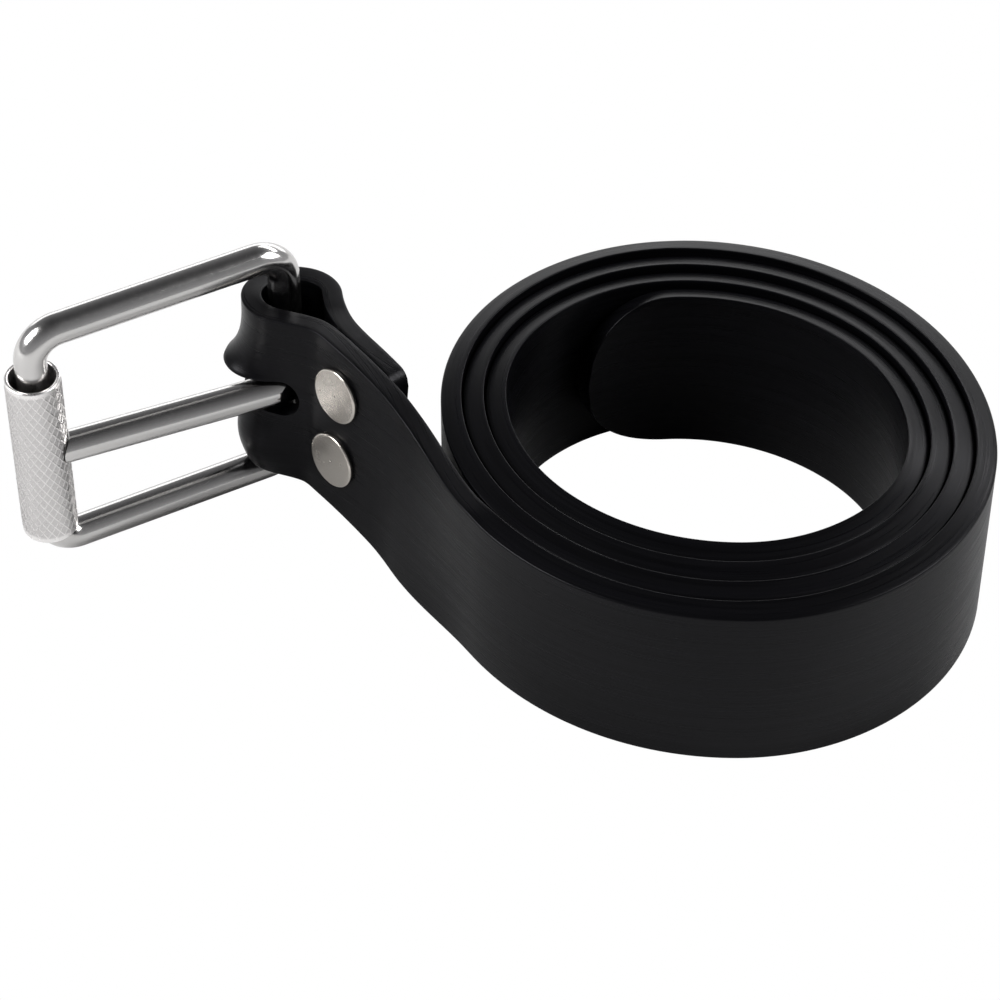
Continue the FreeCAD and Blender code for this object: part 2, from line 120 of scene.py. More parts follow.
def lathe(name, profile, steps, material):
    # profile: (radius, height) points, from the axis to the axis, turned about local Z
    verts = []
    for k in range(steps):
        c, s = math.cos(2 * math.pi * k / steps), math.sin(2 * math.pi * k / steps)
        verts += [(r * c, r * s, z) for r, z in profile]
    return new_object(name, verts, ring_faces(steps, len(profile), True), material)


def round_sweep(name, path, radius, around, closed, material, up):
    # a round rod along path (mm points); up is a direction square to the whole path
    path = np.asarray(path, float)
    count = len(path)
    tangent = np.zeros_like(path)
    for i in range(count):
        before = path[i - 1] if (closed or i > 0) else path[i]
        after = path[(i + 1) % count] if (closed or i < count - 1) else path[i]
        t = after - before
        tangent[i] = t / np.linalg.norm(t)
    up = np.asarray(up, float)
    verts = []
    for i in range(count):
        side = np.cross(tangent[i], up)
        side /= np.linalg.norm(side)
        for j in range(around):
            a = 2 * math.pi * j / around
            verts.append(path[i] + radius * (math.cos(a) * side + math.sin(a) * up))
    faces = ring_faces(count, around, closed)
    if not closed:
        faces.append(tuple(range(around)))
        faces.append(tuple((count - 1) * around + j for j in reversed(range(around))))
    return new_object(name, verts, faces, material)


def quarter(steps):
    # cosine and sine from 0 to 90 degrees
    for k in range(steps + 1):
        a = math.pi / 2.0 * k / steps
        yield math.cos(a), math.sin(a)


# ------------------------------------------------------------ materials
def node_material(name):
    material = bpy.data.materials.new(name)
    material.use_nodes = True
    tree = material.node_tree
    return material, tree, tree.nodes["Principled BSDF"]


def add(tree, kind, **values):
    node = tree.nodes.new(kind)
    for key, value in values.items():
        if key in node.inputs:
            node.inputs[key].default_value = value
        else:
            setattr(node, key, value)
    return node


def noise(tree, vector, scale, detail, roughness):
    node = add(tree, "ShaderNodeTexNoise", Scale=scale, Detail=detail, Roughness=roughness)
    tree.links.new(vector, node.inputs["Vector"])
    return node.outputs["Fac"]


def stretched(tree, vector, factors):
    node = add(tree, "ShaderNodeVectorMath", operation="MULTIPLY")
    node.inputs[1].default_value = factors
    tree.links.new(vector, node.inputs[0])
    return node.outputs["Vector"]


def set_roughness(tree, shader, value, least, most):
    # the middle range of a noise gives a roughness from least to most
    rough = add(tree, "ShaderNodeMapRange")
    rough.inputs["From Min"].default_value = 0.3
    rough.inputs["From Max"].default_value = 0.7
    rough.inputs["To Min"].default_value = least
    rough.inputs["To Max"].default_value = most
    tree.links.new(value, rough.inputs["Value"])
    tree.links.new(rough.outputs["Result"], shader.inputs["Roughness"])


def set_two_tones(tree, shader, value, *tones):
    # each tone is the value that it stands for and its colour
    ramp = add(tree, "ShaderNodeValToRGB")
    for element, (position, color) in zip(ramp.color_ramp.elements, tones):
        element.position = position
        element.color = (*color, 1)
    tree.links.new(value, ramp.inputs["Fac"])
    tree.links.new(ramp.outputs["Color"], shader.inputs["Base Color"])


def rubber_material():
    # moulded rubber with faint streaks along the strap; "run" is metres along it and metres up
    material, tree, shader = node_material("belt_rubber")
    link = tree.links.new
    run = add(tree, "ShaderNodeAttribute", attribute_name="run").outputs["Vector"]
    place = add(tree, "ShaderNodeTexCoord").outputs["Object"]
    streak = noise(tree, stretched(tree, run, (18.0, 1500.0, 4.0)), 1.0, 5.0, 0.65)
    broad = noise(tree, stretched(tree, run, (9.0, 420.0, 3.0)), 1.0, 3.0, 0.55)
    grain = noise(tree, place, 2600.0, 2.0, 0.6)
    set_roughness(tree, shader, streak, 0.23, 0.40)
    set_two_tones(tree, shader, broad, (0.35, (0.0012, 0.0012, 0.0015)),
                  (0.75, (0.0028, 0.0028, 0.0036)))
    bump = add(tree, "ShaderNodeBump", Strength=0.50, Distance=0.00008)
    fine = add(tree, "ShaderNodeBump", Strength=0.25, Distance=0.00003)
    link(streak, bump.inputs["Height"])
    link(grain, fine.inputs["Height"])
    link(fine.outputs["Normal"], bump.inputs["Normal"])
    link(bump.outputs["Normal"], shader.inputs["Normal"])
    shader.inputs["Specular IOR Level"].default_value = 0.11
    shader.inputs["Specular Tint"].default_value = (0.95, 0.94, 1.0, 1)
    return material


def steel_material(name, color, roughness, grain_scale, grain_depth, spread):
    material, tree, shader = node_material(name)
    shader.inputs["Base Color"].default_value = (*color, 1)
    shader.inputs["Metallic"].default_value = 1.0
    place = add(tree, "ShaderNodeTexCoord").outputs["Object"]
    grain = noise(tree, place, grain_scale, 4.0, 0.6)
    set_roughness(tree, shader, grain, roughness - spread, roughness + spread)
    bump = add(tree, "ShaderNodeBump", Strength=0.5, Distance=grain_depth)
    tree.links.new(grain, bump.inputs["Height"])
    tree.links.new(bump.outputs["Normal"], shader.inputs["Normal"])
    return material


RUBBER = rubber_material()
CHROME = steel_material("polished_wire", (0.60, 0.59, 0.58), 0.18, 700.0, 0.000008, 0.03)
KNURL_STEEL = steel_material("roller_steel", (0.68, 0.66, 0.655), 0.30, 1500.0, 0.00001, 0.05)
RIVET_STEEL = steel_material("rivet_nickel", (0.57, 0.535, 0.49), 0.24, 260.0, 0.000004, 0.05)


def paint_ridge_glints(material):
    # painted light: the knurl's ridges are coloured brighter than the hollows between them, a
    # painted highlight on the ridges and painted shade in the hollows
    tree = material.node_tree
    ridge_glint = add(tree, "ShaderNodeAttribute", attribute_name="ridge_glint").outputs["Fac"]
    set_two_tones(tree, tree.nodes["Principled BSDF"], ridge_glint, (0.05, (0.60, 0.585, 0.58)),
                  (0.8, (0.95, 0.93, 0.92)))


# the roller steel takes the painted ridge highlight and hollow shade
paint_ridge_glints(KNURL_STEEL)

# ------------------------------------------------------------ the strap's line (mm, degrees)
WIDTH, THICK = 51.0, 5.3
HALF = THICK / 2.0
LEAVE_HEADING = 124.6
TIP_DIRECTION = 1564.0
FOLD_RADIUS, FOLD_SWEEP, FOLD_STEP = 10.3, 268.78, 0.45
RISE, RISE_START, RISE_LENGTH = 11.5, 4.0, 72.0


COIL_RADIUS, TURN_PITCH = 70.94, 6.17
COIL_START = np.array([4.152, 9.809])
OVAL, OVAL_TOWARDS = 8.79, 50.5
OVAL_CHANGE, CHANGE_TOWARDS = 1.46, 90.0


def eighth_radius(direction, turns):
    # the coil's radius over an eighth of a turn: slightly oval, and smaller with each turn inwards
    ripple = OVAL * math.cos(math.radians(2.0 * (direction - OVAL_TOWARDS)))
    inward = OVAL_CHANGE * math.cos(math.radians(2.0 * (direction - CHANGE_TOWARDS)))
    return COIL_RADIUS - TURN_PITCH * turns + ripple + inward * turns


def coil_arcs():
    # (centre, radius, first, last) of each arc, from where the strap leaves the coil to its tip
    start = LEAVE_HEADING + 90.0
    centre = COIL_START
    arcs, radius, angle = [], None, start
    boundary = 45.0 * math.ceil(angle / 45.0)
    while angle < TIP_DIRECTION:
        direction = boundary - 22.5
        following = eighth_radius(direction, (direction - start) / 360.0)
        if radius is not None:
            centre = centre + unit(angle) * (radius - following)
        radius = following
        stop = min(boundary, TIP_DIRECTION)
        arcs.append((centre, radius, angle, stop))
        angle = stop
        boundary += 45.0
    return arcs


class Walk:
    # a pen that lays stations down along straight lines and arcs: x, y, heading, bend per mm
    def __init__(self, point, heading, step):
        self.point, self.heading, self.step = np.array(point, float), heading, step
        self.stations = []

    def straight(self, length):
        count = max(2, int(round(length / self.step)))
        for k in range(count):
            p = self.point + unit(self.heading) * length * k / count
            self.stations.append((p[0], p[1], self.heading, 0.0, length / count))
        self.point = self.point + unit(self.heading) * length

    def arc(self, radius, turn, step=None):
        side = 1.0 if turn > 0 else -1.0
        centre = self.point + unit(self.heading + 90.0 * side) * radius
        length = math.radians(abs(turn)) * radius
        count = max(4, int(round(length / (step or self.step))))
        for k in range(count):
            h = self.heading + turn * k / count
            p = centre - unit(h + 90.0 * side) * radius
            self.stations.append((p[0], p[1], h, side / radius, length / count))
        self.heading += turn
        self.point = centre - unit(self.heading + 90.0 * side) * radius
        return centre


TIP_STEP, COIL_STEP, END_STEP = 1.2, 0.8, 0.6      # mm between stations
TIP_SIDE = 600.0                                   # the inner turns take the longer step
LEAVE_STRAIGHT, LEAVE_BEND, LEAVE_TURN = 35.5, 60.0, 8.4
LAND, LAND_BEND, LAND_TURN = 23.0, 14.0, 20.0
BEFORE_FOLD, TAIL_BEND, TAIL = 9.6, 6.0, 24.5

arcs = coil_arcs()
tip_centre, tip_radius, _, tip_last = arcs[-1]
walk = Walk(tip_centre + unit(tip_last) * tip_radius, tip_last - 90.0, TIP_STEP)
for centre, radius, first, last in reversed(arcs):
    walk.arc(radius, -(last - first), TIP_STEP if last > TIP_SIDE else COIL_STEP)
leave_point = walk.point.copy()
walk.step = END_STEP
walk.straight(LEAVE_STRAIGHT)
walk.arc(LEAVE_BEND, LEAVE_TURN)
land_start = walk.point.copy()
land_heading = walk.heading
walk.straight(LAND)
walk.arc(LAND_BEND, LAND_TURN)
walk.straight(BEFORE_FOLD)
fold_heading = walk.heading
fold_start = len(walk.stations)
fold_centre = walk.arc(FOLD_RADIUS, -FOLD_SWEEP, FOLD_STEP)
fold_end = len(walk.stations)
walk.arc(TAIL_BEND, land_heading - 180.0 - walk.heading)
walk.straight(TAIL)
walk.stations.append((*walk.point, walk.heading, 0.0, 0.0))
path = np.array(walk.stations)
run_length = np.concatenate([[0.0], np.cumsum(path[:-1, 4])])
total = run_length[-1]

# away from the rivets the tail comes back to the strap in a wider curve
SOFT_BEND, SECOND_RADIUS = 32.0, 9.2
FIRST_SWEEP = 140.0
TAIL_GAP = 0.15
fold_entry = np.array(walk.stations[fold_start][:2])


def tail_walk(sweep):
    soft = Walk(fold_entry, fold_heading, END_STEP)
    soft.arc(FOLD_RADIUS, -FIRST_SWEEP, FOLD_STEP)
    soft.arc(SECOND_RADIUS, FIRST_SWEEP - sweep, FOLD_STEP)
    soft.arc(SOFT_BEND, land_heading - 180.0 - soft.heading)
    return soft


def tail_side(sweep):
    return (tail_walk(sweep).point - land_start) @ unit(land_heading - 90.0)


# the sweep of the fold that brings the soft tail against the strap
least, most = 200.0, 285.0
for _ in range(40):
    halfway = (least + most) / 2.0
    if tail_side(halfway) > THICK + TAIL_GAP:
        least = halfway
    else:
        most = halfway
soft = tail_walk(halfway)
reach_back = (walk.point - soft.point) @ unit(land_heading - 180.0)
soft.straight(reach_back)
soft.stations.append((*soft.point, soft.heading, 0.0, 0.0))
soft_path = np.array(soft.stations)
soft_run = np.concatenate([[0.0], np.cumsum(soft_path[:-1, 4])])

# put the path where the CAD strap is
heads = np.radians(path[:, 2] + 90.0)
normals = np.stack([np.cos(heads), np.sin(heads)], -1)
edges = np.concatenate([path[:, :2] + normals * HALF, path[:, :2] - normals * HALF])
low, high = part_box("strap")
shift = (flat(low) + flat(high)) / 2.0 / MM - (edges.min(0) + edges.max(0)) / 2.0
path[:, :2] += shift
soft_path[:, :2] += shift
# the same share of the way round the fold and tail, on the wider curve
SHARED_RUN = 30.0
from_fold = run_length - run_length[fold_start]
stretch = (soft_run[-1] - SHARED_RUN) / (total - run_length[fold_start] - SHARED_RUN)
match = np.where(from_fold < SHARED_RUN, from_fold, SHARED_RUN + (from_fold - SHARED_RUN) * stretch)
match = np.clip(match, 0.0, soft_run[-1])
swing = np.stack([np.interp(match, soft_run, soft_path[:, 0]) - path[:, 0],
                  np.interp(match, soft_run, soft_path[:, 1]) - path[:, 1]], -1)
turn_off = np.interp(match, soft_run, soft_path[:, 2]) - path[:, 2]
swing[run_length <= run_length[fold_start]] = 0.0
turn_off[run_length <= run_length[fold_start]] = 0.0
leave_point, land_start, fold_centre = leave_point + shift, land_start + shift, fold_centre + shift
leave_run = run_length[np.argmin(np.hypot(*(path[:, :2] - leave_point).T))]


def ease(t):
    # 0 to 1 with a level start and end
    t = np.clip(t, 0.0, 1.0)
    return t * t * (3.0 - 2.0 * t)


def bell(middle, reach, power):
    # 1 at a point of the strap's run, falling to 0 at reach on both sides
    return np.cos(np.clip((run_length - middle) / reach, -1.0, 1.0) * math.pi / 2.0) ** power


def smooth_along(values, width):
    grid = np.arange(0.0, total, 0.5)
    sampled = np.interp(grid, run_length, values)
    taps = np.arange(-3 * width, 3 * width + 0.5, 0.5)
    kernel = np.exp(-0.5 * (taps / width) ** 2)
    kernel /= kernel.sum()
    padded = np.pad(sampled, len(kernel) // 2, mode="edge")
    return np.interp(run_length, grid, np.convolve(padded, kernel, "valid")[:len(grid)])


def climb_at(points):
    # how far the strap's lower edge stands off the ground: two arcs, one up and one level again
    along = (points - leave_point) @ unit(LEAVE_HEADING) - RISE_START
    big = (RISE_LENGTH ** 2 + RISE ** 2) / (4.0 * RISE)
    t = np.clip(along, 0.0, RISE_LENGTH)
    first = big - np.sqrt(big ** 2 - t ** 2)
    second = RISE - big + np.sqrt(big ** 2 - (RISE_LENGTH - t) ** 2)
    return np.where(t < RISE_LENGTH / 2.0, first, second)


stations = len(path)
on_end = run_length >= leave_run - 1e-6
climb = np.where(on_end, climb_at(path[:, :2]), 0.0)
bend = smooth_along(path[:, 3], 3.0)
# bent rubber is narrower on its outside and wider on its inside: mm at an edge, signed by the bend
TAPER_GAIN, TAPER_BEND, MOST_TAPER, TAPER_END = 4.2, 14.0, 0.9, 25.0
taper = np.clip(TAPER_GAIN * np.tanh(bend * TAPER_BEND), -MOST_TAPER, MOST_TAPER)
taper = taper * np.clip(1.0 - (run_length - leave_run) / TAPER_END, 0.0, 1.0)
raised = climb / RISE
# past the fold the strap hangs a little lower, and the tail comes part of the way up again
FOLD_DROP, DROP_FROM, DROP_OVER = 2.6, 6.0, 24.0
TAIL_REGAIN, REGAIN_OVER = 1.4, 16.0
climb = (climb - FOLD_DROP * ease((from_fold - DROP_FROM) / DROP_OVER)
         + TAIL_REGAIN * ease((run_length - run_length[fold_end]) / REGAIN_OVER))

# the end leans back a few degrees between the coil and the loop
LEAN, LEAN_FROM, LEAN_OVER = 6.0, 4.0, 30.0
UPRIGHT_AT, UPRIGHT_REACH = 18.0, 36.0
AWAY = unit(land_heading - 90.0)
lean_up = ease((run_length - leave_run - LEAN_FROM) / LEAN_OVER)
in_loop = bell(run_length[fold_start] + UPRIGHT_AT, UPRIGHT_REACH, 2)
lean = math.sin(math.radians(LEAN)) * lean_up * (1.0 - in_loop)
# the lips beside the tongue slot bow outwards in the fold
UPPER_LIP, UPPER_FALL, UPPER_MIDDLE, UPPER_REACH = 6.0, 5.0, 8.5, 16.0
LOWER_LIP, LOWER_AT, LOWER_FALL, LOWER_MIDDLE, LOWER_REACH = 4.6, 11.0, 10.0, 3.0, 15.0
EDGE_CURL, CURL_FALL = 0.5, 6.0
upper_window = bell(run_length[fold_start] + UPPER_MIDDLE, UPPER_REACH, 3.2)
lower_window = bell(run_length[fold_start] + LOWER_MIDDLE, LOWER_REACH, 2)
SLOT_HALF = 5.3
TIP_ROUND, TAIL_ROUND = 24.5, 3.5
STILL, FREE = 17.0, 7.0     # mm off the strap's middle: none of the wider curve, then all of it

OUTER_ROWS = 92
INNER_ROWS = 40
ROUND, COIL_TRIM = 0.35, 0.25


def section():
    # (kind, side, across) for each point round the strap's section: side is -1..1 through the
    # thickness; across is -1..1 from the lower to the upper edge, or 0..1 round a corner
    corner = [k / 4.0 for k in range(1, 4)]
    pts = [("face", 1.0, a) for a in np.linspace(-1.0, 1.0, OUTER_ROWS)]
    pts += [("corner_top_outer", 1.0, k) for k in corner]
    pts += [("top", f, 1.0) for f in np.linspace(1.0, -1.0, 6)]
    pts += [("corner_top_inner", -1.0, k) for k in corner]
    pts += [("face", -1.0, a) for a in np.linspace(1.0, -1.0, INNER_ROWS)]
    pts += [("corner_bottom_inner", -1.0, k) for k in corner]
    pts += [("bottom", f, -1.0) for f in np.linspace(-1.0, 1.0, 6)]
    pts += [("corner_bottom_outer", 1.0, k) for k in corner]
    return pts


SECTION = section()


def end_inset(distance, radius):
    # how far an edge draws in near a rounded end
    d = np.clip(distance, 0.0, radius)
    return radius - math.sqrt(max(0.0, radius ** 2 - (radius - d) ** 2))


def station_points(i):
    # the section's points at one station, in mm
    x, y, heading = path[i, 0], path[i, 1], path[i, 2]
    normal = unit(heading + 90.0)
    low_edge, high_edge = climb[i], WIDTH + climb[i]
    middle = (low_edge + high_edge) / 2.0
    inset = max(end_inset(run_length[i], TIP_ROUND), end_inset(total - run_length[i], TAIL_ROUND))
    pts = []
    for kind, side, across in SECTION:
        n = side * HALF
        z_off = ROUND
        if kind.startswith("corner"):
            turn = across * math.pi / 2.0
            if kind in ("corner_top_inner", "corner_bottom_outer"):
                turn = math.pi / 2.0 - turn
            n = side * (HALF - ROUND + ROUND * math.cos(turn))
            z_off = ROUND * math.sin(turn)
        elif kind != "face":
            n = side * (HALF - ROUND)
        narrow = taper[i] * (n / HALF)
        top = high_edge + narrow - COIL_TRIM * (1.0 - raised[i]) - inset
        bottom = low_edge - narrow * raised[i] + inset
        if kind == "face":
            z = bottom + ROUND + (top - bottom - 2 * ROUND) * (across + 1.0) / 2.0
        elif "top" in kind:
            z = top - ROUND + z_off
        else:
            z = bottom + ROUND - z_off
        # lips of the slot
        away = abs(z - TONGUE_Z)
        past = max(away - SLOT_HALF, 0.0)
        if z > TONGUE_Z:
            lip = UPPER_LIP * math.exp(-past / UPPER_FALL) * upper_window[i]
        else:
            lip = LOWER_LIP * math.exp(-((past - LOWER_AT) / LOWER_FALL) ** 2) * lower_window[i]
        edge_gap = min(z - bottom, top - z)
        curl = EDGE_CURL * math.exp(-(edge_gap / CURL_FALL) ** 2) * lower_window[i]
        out = n + lip + curl
        back = AWAY * lean[i] * (z - middle)
        # only the parts above and below the rivets take the wider curve
        loose = ease((abs(z - middle) - STILL) / FREE)
        way = unit(heading + turn_off[i] * loose + 90.0) if loose * turn_off[i] else normal
        base = (x + swing[i, 0] * loose, y + swing[i, 1] * loose)
        pts.append((base[0] + way[0] * out + back[0], base[1] + way[1] * out + back[1],
                    z + lean[i] * out * (normal @ -AWAY)))
    return pts


def strap_mesh():
    verts, run = [], []
    for i in range(stations):
        pts = station_points(i)
        verts += pts
        run += [(run_length[i] * MM, (p[2] + HALF * side) * MM, 0.0)
                for p, (_, side, _) in zip(pts, SECTION)]
    faces = [f[::-1] for f in ring_faces(stations, len(SECTION))]
    count = len(SECTION)
    faces.append(tuple(range(count)))
    faces.append(tuple((stations - 1) * count + j for j in reversed(range(count))))
    obj = new_object("belt_strap", verts, faces, RUBBER)
    attribute = obj.data.attributes.new("run", "FLOAT_VECTOR", "POINT")
    attribute.data.foreach_set("vector", np.array(run, "f").ravel())
    return obj


SLOT_FRONT, SLOT_SWEEP = 10.6, 225.0


def slot_tool():
    # swept along the fold, with a half-round at each end; SLOT_FRONT is measured from the near bar
    foot = (NEAR_BAR - fold_centre) @ unit(fold_heading)
    start_run = run_length[fold_start] - (SLOT_FRONT - foot)
    end_run = run_length[fold_start] + math.radians(SLOT_SWEEP) * FOLD_RADIUS + SLOT_HALF
    columns = [(start_run + SLOT_HALF * (1.0 - c), SLOT_HALF * s) for c, s in quarter(12)]
    for r in np.arange(start_run + SLOT_HALF + 0.5, end_run - SLOT_HALF, 0.6):
        columns.append((r, SLOT_HALF))
    columns += [(end_run - SLOT_HALF * (1.0 - c), SLOT_HALF * s)
                for c, s in reversed(list(quarter(12)))]
    verts = []
    for r, h in columns:
        h = max(h, 0.05)
        x = np.interp(r, run_length, path[:, 0])
        y = np.interp(r, run_length, path[:, 1])
        normal = unit(np.interp(r, run_length, path[:, 2]) + 90.0)
        for n, z in ((-4.5, -h), (12.0, -h), (12.0, h), (-4.5, h)):
            verts.append((x + normal[0] * n, y + normal[1] * n, TONGUE_Z + z))
    faces = ring_faces(len(columns), 4)
    faces.append((3, 2, 1, 0))
    b = (len(columns) - 1) * 4
    faces.append((b, b + 1, b + 2, b + 3))
    return fix_normals(new_object("slot_tool", verts, faces, RUBBER))


strap = fix_normals(strap_mesh())
strap = boolean_cut(strap, slot_tool())
strap.data.set_sharp_from_angle(angle=math.radians(50))
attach(strap, "belt")
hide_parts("strap")


# ------------------------------------------------------------ the buckle (mm)
def frame_place(obj, origin, z):
    # from the frame's own axes, with X from the near bar to the far bar, to the record's
    obj.matrix_world = (Matrix.Translation(Vector((origin[0] * MM, origin[1] * MM, z * MM)))
                        @ Matrix.Rotation(math.radians(FRAME_HEADING), 4, "Z"))
    bpy.context.view_layer.update()
    obj.data.transform(obj.matrix_world)
    obj.matrix_world = Matrix()


WIRE = 4.25
FRAME_HEIGHT, CORNER = 71.2, 8.0
FOOT = WIRE
ROD_SIDES = 72


def frame_path():
    pts = []
    corners = ((FRAME_LENGTH - CORNER, FOOT + CORNER, -90.0),
               (FRAME_LENGTH - CORNER, FOOT + FRAME_HEIGHT - CORNER, 0.0),
               (CORNER, FOOT + FRAME_HEIGHT - CORNER, 90.0),
               (CORNER, FOOT + CORNER, 180.0))
    for k, (cx, cz, start) in enumerate(corners):
        for a in np.linspace(start, start + 90.0, 25):
            c, s = unit(a)
            pts.append((cx + CORNER * c, 0.0, cz + CORNER * s))
        nx, nz, nstart = corners[(k + 1) % 4]
        c, s = unit(nstart)
        target = np.array((nx + CORNER * c, 0.0, nz + CORNER * s))
        here = np.array(pts[-1])
        for t in np.linspace(0, 1, 26)[1:-1]:
            pts.append(tuple(here + (target - here) * t))
    return pts


wire = round_sweep("buckle_wire", frame_path(), WIRE, ROD_SIDES, True, CHROME, (0, 1, 0))
fix_normals(wire)
frame_place(wire, NEAR_BAR, 0.0)
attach(wire, "buckle")
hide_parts("buckle_frame")

# roller: a thin tube with a diamond knurl between two smooth rims
ROLLER_R, ROLLER_BORE, ROLLER_LONG = 7.3, 6.1, 52.6
roller_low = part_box("roller")[0][2] / MM
KNURLS, KNURL_TALL, KNURL_DEPTH = 20, 3.6, 0.2
PER_KNURL = 18          # mesh steps to one diamond, each way, so that the ridges follow the mesh
RIDGE_EDGE = 0.85
SMOOTH_BAND, KNURL_FADE, PLAIN_TONE = 1.2, 0.8, 0.6


def ridge_line(turns):
    # 1 on each whole turn, falling to 0 a little way off it
    return np.clip((np.abs((turns % 1.0) - 0.5) * 2.0 - RIDGE_EDGE) / (1.0 - RIDGE_EDGE), 0, 1)


def roller_mesh():
    around = PER_KNURL * KNURLS
    rows = 256
    theta = 2 * math.pi * np.arange(around) / around
    # (radius, height, knurled): one end's rim, the knurled outside, the other rim, the bore
    rim = ((ROLLER_BORE, 0.25), (ROLLER_BORE + 0.2, 0.0), (ROLLER_R - 0.55, 0.0),
           (ROLLER_R - 0.35, 0.05), (ROLLER_R - 0.18, 0.22), (ROLLER_R - 0.12, 0.45))
    profile = [(r, z, False) for r, z in rim]
    profile += [(ROLLER_R, z, True) for z in np.linspace(0.8, ROLLER_LONG - 0.8, rows)]
    profile += [(r, ROLLER_LONG - z, False) for r, z in reversed(rim)]
    profile += [(ROLLER_BORE, z, False) for z in np.linspace(ROLLER_LONG - 1.0, 1.0, 3)]
    pitch = 2 * math.pi * ROLLER_R / KNURLS
    grid, ridge_glint = [], []
    for r, z, knurled in profile:
        radii = np.full(around, r)
        # painted light: smooth parts take the middle tone, knurled ridges the painted highlight and
        # the hollows the painted shade
        high = np.full(around, PLAIN_TONE)
        if knurled:
            edge = min(z - SMOOTH_BAND, ROLLER_LONG - SMOOTH_BAND - z)
            fade = min(1.0, max(0.0, edge / KNURL_FADE))
            u = theta * ROLLER_R / pitch
            v = z / KNURL_TALL
            line = np.maximum(ridge_line(u + v), ridge_line(u - v))
            radii = r - KNURL_DEPTH + KNURL_DEPTH * fade * line
            high = PLAIN_TONE * (1.0 - fade) + fade * line
        ridge_glint.append(high)
        grid.append(np.stack([radii * np.cos(theta), radii * np.sin(theta),
                              np.full(around, z)], -1))
    faces = ring_faces(len(profile), around, True)
    obj = new_object("buckle_roller", np.concatenate(grid), faces, KNURL_STEEL)
    # the painted highlight and shade of the knurl, kept on the points
    attribute = obj.data.attributes.new("ridge_glint", "FLOAT", "POINT")
    attribute.data.foreach_set("value", np.concatenate(ridge_glint).astype("f"))
    return obj


roller = fix_normals(roller_mesh())
frame_place(roller, FAR_BAR, roller_low)
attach(roller, "roller_body")
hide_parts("roller")

# tongue: a rod thinned down to a flattened eye, hollowed at its tip to sit on the roller
ON_AXIS = 0.0001
EYE_R, EYE_BORE, EYE_HIGH, EYE_RIM = 9.4, 4.35, 9.4, 0.8
OFFSET, FLAT_START, SLOPE, REACH = 8.75, 7.0, 5.7, 66.9
SEAT_GAP = 0.25


def slab(name, low, high, material):
    corners = [(x, y, z) for x in (low[0], high[0]) for y in (low[1], high[1])
               for z in (low[2], high[2])]
    faces = [(0, 1, 3, 2), (4, 6, 7, 5), (0, 4, 5, 1), (2, 3, 7, 6), (0, 2, 6, 4), (1, 5, 7, 3)]
    return fix_normals(new_object(name, corners, faces, material))


def rod_tool(name, radius, steps):
    # a long upright cylinder on the axis, to cut with
    return lathe(name, [(ON_AXIS, -20.0), (radius, -20.0), (radius, 20.0), (ON_AXIS, 20.0)],
                 steps, CHROME)


def tongue_mesh():
    start = np.array([*(unit(90.0 - SLOPE) * OFFSET), 0.0])
    way = np.array([*unit(-SLOPE), 0.0])
    rod = round_sweep("buckle_tongue", [start + way * t for t in np.linspace(0, REACH + 2.0, 70)],
                      WIRE, ROD_SIDES, False, CHROME, (0, 0, 1))
    fix_normals(rod)
    thinned = OFFSET + WIRE - EYE_R
    tilt = math.degrees(math.atan2(thinned, FLAT_START))
    flat_cut = slab("flat_tool", (-10, 0, -20), (40, 30, 20), CHROME)
    foot = unit(90.0 - SLOPE) * EYE_R
    flat_cut.data.transform(Matrix.Translation(Vector((foot[0] * MM, foot[1] * MM, 0)))
                            @ Matrix.Rotation(math.radians(tilt - SLOPE), 4, "Z"))
    boolean_cut(rod, flat_cut)
    rim, edge = EYE_RIM, EYE_HIGH / 2.0
    profile = [(ON_AXIS, -edge)]
    profile += [(EYE_R - rim + rim * s, -edge + rim - rim * c) for c, s in quarter(8)]
    profile += [(EYE_R - rim + rim * c, edge - rim + rim * s) for c, s in quarter(8)]
    profile.append((ON_AXIS, edge))
    eye = fix_normals(lathe("eye_piece", profile, 160, CHROME))
    union = rod.modifiers.new("union", "BOOLEAN")
    union.operation = "UNION"
    union.solver = "EXACT"
    union.object = eye
    apply_modifiers(rod)
    bpy.data.objects.remove(eye)
    boolean_cut(rod, fix_normals(rod_tool("bore_tool", EYE_BORE, 128)))
    seat = rod_tool("seat_tool", ROLLER_R + SEAT_GAP, 256)
    seat.data.transform(Matrix.Translation(Vector((FRAME_LENGTH * MM, 0, 0))))
    boolean_cut(rod, fix_normals(seat))
    boolean_cut(rod, slab("trim_tool", (REACH, -40, -20), (REACH + 40, 40, 20), CHROME))
    soften = rod.modifiers.new("soften", "BEVEL")
    soften.width = 0.0006
    soften.segments = 4
    soften.limit_method = "ANGLE"
    soften.angle_limit = math.radians(35)
    apply_modifiers(rod)
    rod.data.shade_smooth()
    rod.data.set_sharp_from_angle(angle=math.radians(40))
    return rod


tongue = tongue_mesh()
frame_place(tongue, NEAR_BAR, TONGUE_Z)
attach(tongue, "tongue_body")
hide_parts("tongue")


# ------------------------------------------------------------ rivets
HEAD_R, HEAD_H, HEAD_ROUND = 7.75, 1.3, 0.5


def rivet_head(name):
    # a flat head with a rounded rim, standing on its axis
    profile = [(0.001, 0.0), (HEAD_R - 0.1, 0.0), (HEAD_R, 0.1), (HEAD_R, HEAD_H - HEAD_ROUND)]
    profile += [(HEAD_R - HEAD_ROUND + HEAD_ROUND * c, HEAD_H - HEAD_ROUND + HEAD_ROUND * s)
                for c, s in list(quarter(6))[1:]]
    for r in np.linspace(HEAD_R - 0.8, 0.001, 14):
        profile.append((r, HEAD_H))
    return fix_normals(lathe(name, profile, 160, RIVET_STEEL))


